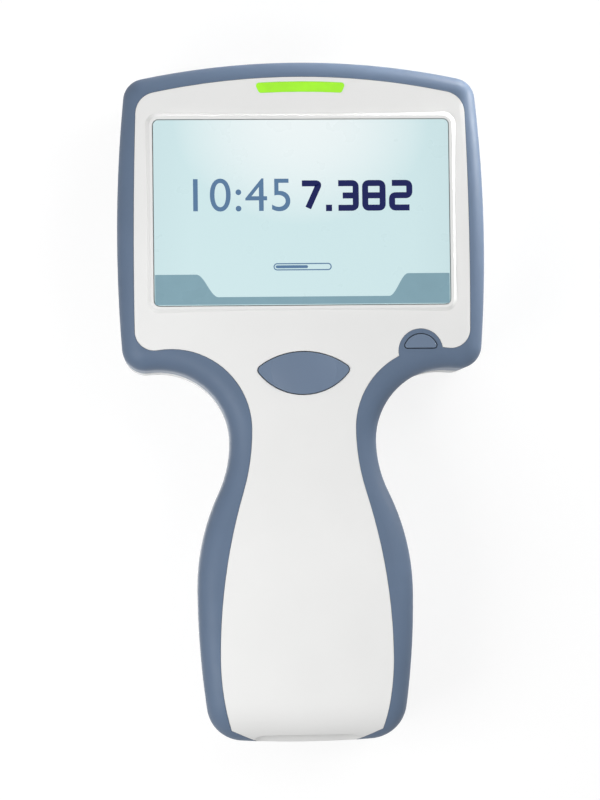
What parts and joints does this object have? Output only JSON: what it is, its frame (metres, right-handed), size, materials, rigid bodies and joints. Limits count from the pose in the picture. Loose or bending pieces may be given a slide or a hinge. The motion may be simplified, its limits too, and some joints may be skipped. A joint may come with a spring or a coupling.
{
  "type": "handheld blood analyser",
  "caption": "Handheld blood analyser with a wide touch-screen head, waisted grip, cartridge port in the heel, scan and power buttons.",
  "frame": {"origin": "under the middle of the body, in the plane of the rubber feet, with the analyser on its back", "axes": "+Z out of the screen, +Y from the heel to the top of the head, +X to the right of someone who reads the screen"},
  "size_m": [0.1528, 0.2824, 0.06],
  "materials": {
    "white_shell": "satin",
    "grip_blue": "satin",
    "rear_grey": "satin",
    "seal_black": "matt",
    "foot_rubber": "matt",
    "steel": "brushed",
    "gold_contact": "polished",
    "touch_glass": "polished",
    "foam": "matt",
    "display": "satin",
    "display_back": "satin",
    "tray_metal": "satin",
    "light_green": "frosted",
    "board_green": "satin",
    "led_white": "gloss",
    "button_blue": "satin",
    "switch_black": "satin",
    "dome_rubber": "matt",
    "shield_tin": "satin",
    "ribbon_amber": "satin",
    "window_dark": "gloss",
    "lens_glass": "polished",
    "battery_grey": "satin",
    "cell_wrap": "satin",
    "latch_blue": "satin",
    "speaker_black": "matt",
    "port_grey": "satin",
    "guide_white": "satin",
    "chassis_black": "satin",
    "motor_can": "satin",
    "gear_white": "satin",
    "carriage_grey": "satin"
  },
  "bodies": {
    "analyser": {"front_housing": "white_shell", "grip_band": "grip_blue", "rear_housing": "rear_grey", "housing_seal": "seal_black", "rear_feet": "foot_rubber", "housing_screws": "steel", "dock_contacts": "gold_contact", "touch_glass": "touch_glass", "screen_gasket": "foam", "lcd_panel": "display", "lcd_backlight": "display_back", "lcd_tray": "tray_metal", "tray_screws": "steel", "light_bar": "light_green", "light_board": "board_green", "status_leds": "led_white", "scan_switch": "switch_black", "scan_button_dome": "dome_rubber", "power_switch": "switch_black", "power_button_dome": "dome_rubber", "main_board": "board_green", "board_screws": "steel", "processor_shield": "shield_tin", "radio_module": "shield_tin", "coin_cell": "steel", "display_ribbon": "ribbon_amber", "reader_window": "window_dark", "reader_module": "switch_black", "reader_lens": "lens_glass", "reader_bracket": "chassis_black", "battery_contacts": "gold_contact", "latch_spring": "steel", "speaker": "speaker_black", "port_bezel": "port_grey", "cartridge_guide": "guide_white", "mech_chassis": "chassis_black", "drive_motor": "motor_can", "screw_bushes": "gold_contact", "guide_rods": "steel", "connector_springs": "steel", "cartridge_sensor": "switch_black", "motor_flex": "ribbon_amber"},
    "scan_button_body": {"scan_button": "button_blue", "scan_switch_plunger": "switch_black"},
    "power_button_body": {"power_button": "button_blue", "power_switch_plunger": "switch_black"},
    "battery_body": {"battery_case": "battery_grey", "battery_lid": "battery_grey", "battery_cells": "cell_wrap"},
    "latch_body": {"battery_latch": "latch_blue"},
    "screw_body": {"lead_screw": "steel", "screw_gear": "gear_white"},
    "rotor_body": {"motor_shaft": "steel", "motor_pinion": "gear_white"},
    "carriage_body": {"cam_carriage": "carriage_grey"},
    "connector_body": {"connector_block": "switch_black", "connector_pins": "gold_contact"},
    "calibrant_body": {"calibrant_plunger": "gear_white"},
    "bladder_body": {"bladder_plunger": "gear_white"}
  },
  "joints": [
    {"name": "scan_button_press", "type": "slide", "parent": "analyser", "child": "scan_button_body", "axis": [0, 0, -1], "range_m": [0, 0.0012], "stiffness_N_per_m": 1500, "springref_m": -0.0008, "deforming": ["scan_button_dome"]},
    {"name": "power_button_press", "type": "slide", "parent": "analyser", "child": "power_button_body", "axis": [0, 0, -1], "range_m": [0, 0.0008], "stiffness_N_per_m": 1800, "springref_m": -0.0006, "deforming": ["power_button_dome"]},
    {"name": "battery_slide", "type": "slide", "parent": "analyser", "child": "battery_body", "axis": [0, 0, -1], "range_m": [0, 0.03]},
    {"name": "battery_latch_slide", "type": "slide", "parent": "analyser", "child": "latch_body", "axis": [0, 1, 0], "range_m": [0, 0.003], "stiffness_N_per_m": 600, "springref_m": -0.001},
    {"name": "lead_screw_spin", "type": "hinge", "parent": "analyser", "child": "screw_body", "pos_m": [0.0222, -0.08, 0.0335], "axis": [0, 1, 0], "range_deg": [0, 720]},
    {"name": "motor_spin", "type": "hinge", "parent": "analyser", "child": "rotor_body", "pos_m": [0.0062, -0.06, 0.0335], "axis": [0, 1, 0], "range_deg": [-2160, 0]},
    {"name": "carriage_slide", "type": "slide", "parent": "analyser", "child": "carriage_body", "axis": [0, 1, 0], "range_m": [0, 0.012]},
    {"name": "connector_drop", "type": "slide", "parent": "analyser", "child": "connector_body", "axis": [0, 0, -1], "range_m": [0, 0.002], "deforming": ["connector_springs"]},
    {"name": "calibrant_press", "type": "slide", "parent": "analyser", "child": "calibrant_body", "axis": [0, 0, -1], "range_m": [0, 0.0024]},
    {"name": "bladder_press", "type": "slide", "parent": "analyser", "child": "bladder_body", "axis": [0, 0, -1], "range_m": [0, 0.0024]}
  ],
  "couplings": [
    {"joint": "lead_screw_spin", "follows": "carriage_slide", "rad_per_m": 1047.2},
    {"joint": "motor_spin", "follows": "carriage_slide", "rad_per_m": -3141.6},
    {"joint": "connector_drop", "follows": "carriage_slide", "ratio": 0.16666},
    {"joint": "calibrant_press", "follows": "carriage_slide", "ratio": 0.19999},
    {"joint": "bladder_press", "follows": "carriage_slide", "ratio": 0.19999}
  ]
}
